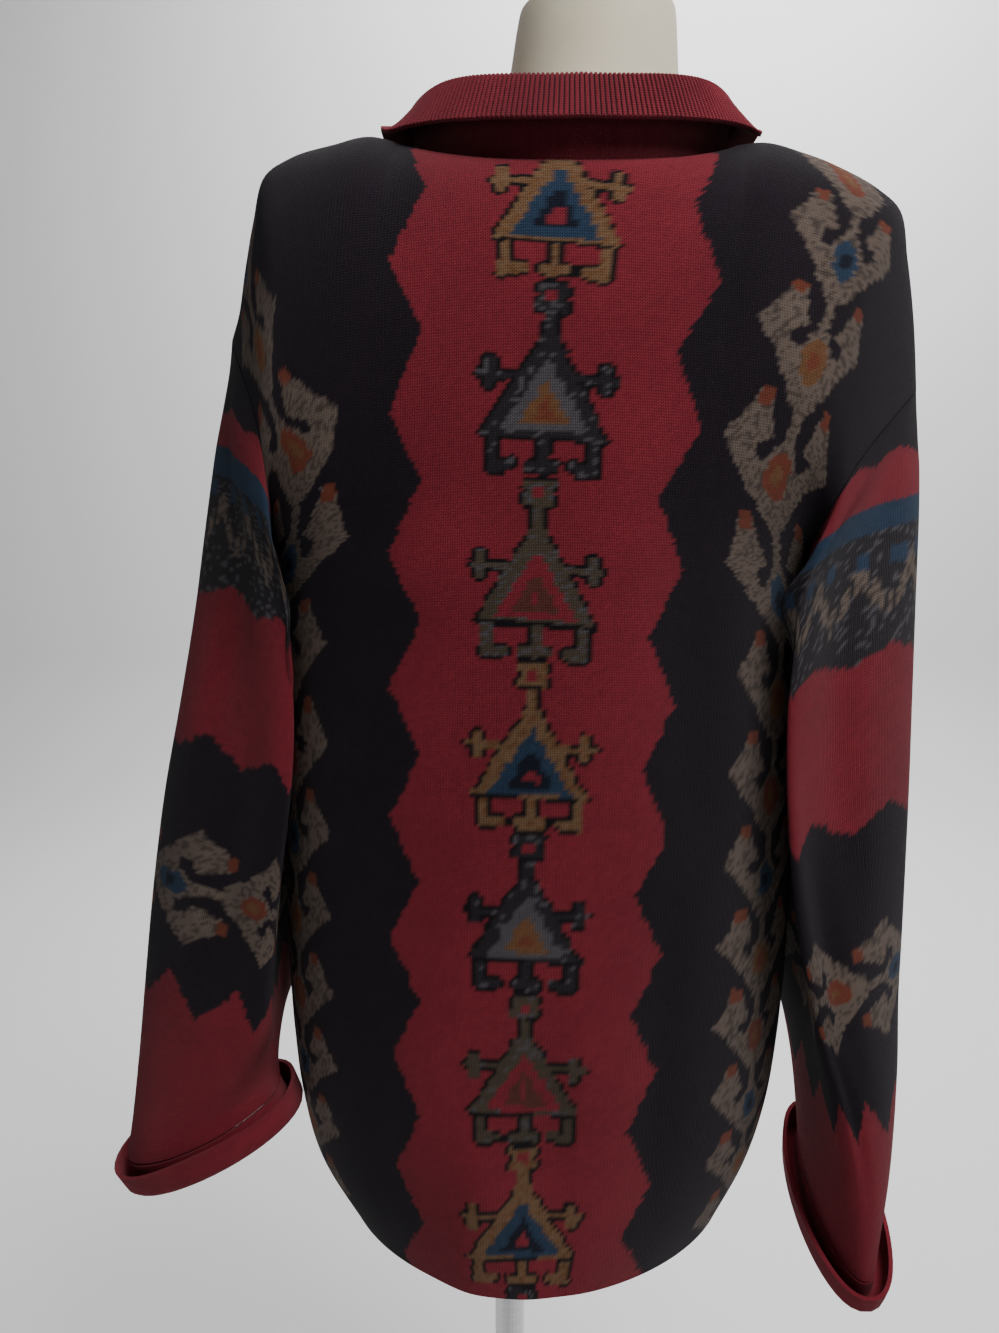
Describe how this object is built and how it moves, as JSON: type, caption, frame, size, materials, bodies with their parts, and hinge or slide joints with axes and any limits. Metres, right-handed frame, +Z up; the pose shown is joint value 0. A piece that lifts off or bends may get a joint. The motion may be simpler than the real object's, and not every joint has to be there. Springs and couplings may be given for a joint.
{
  "type": "button-up cardigan on a dress form",
  "caption": "Long loose jacquard cardigan with a folded rib collar and turned-back cuffs, standing on a limbless dress form with a steel stand.",
  "frame": {"origin": "on the floor, at the middle of the underside of the stand's base, under the pole", "axes": "+Z up, -Y towards the cardigan's fronts, +Y towards its back, +X towards the wearer's left"},
  "size_m": [0.6116, 0.33, 1.501],
  "materials": {
    "crimson_jacquard": "fine wool jacquard knit, matt",
    "aubergine_jacquard": "fine wool jacquard knit, matt",
    "red_rib": "ribbed wool knit, matt",
    "dark_horn": "dark, softly polished",
    "cream_cover": "smooth woven cover",
    "brushed_steel": "brushed"
  },
  "bodies": {
    "root": {"back": "crimson_jacquard", "front_left": "aubergine_jacquard", "front_right": "aubergine_jacquard", "sleeve_left": "aubergine_jacquard", "sleeve_right": "aubergine_jacquard", "cuff_left": "crimson_jacquard", "cuff_right": "crimson_jacquard", "collar": "red_rib", "button_band": "red_rib", "buttonhole_band": "red_rib", "button_1": "dark_horn", "button_2": "dark_horn", "button_3": "dark_horn", "button_4": "dark_horn", "button_5": "dark_horn", "button_6": "dark_horn", "dress_form": "cream_cover", "stand_pole": "brushed_steel", "stand_base": "brushed_steel"}
  },
  "joints": []
}
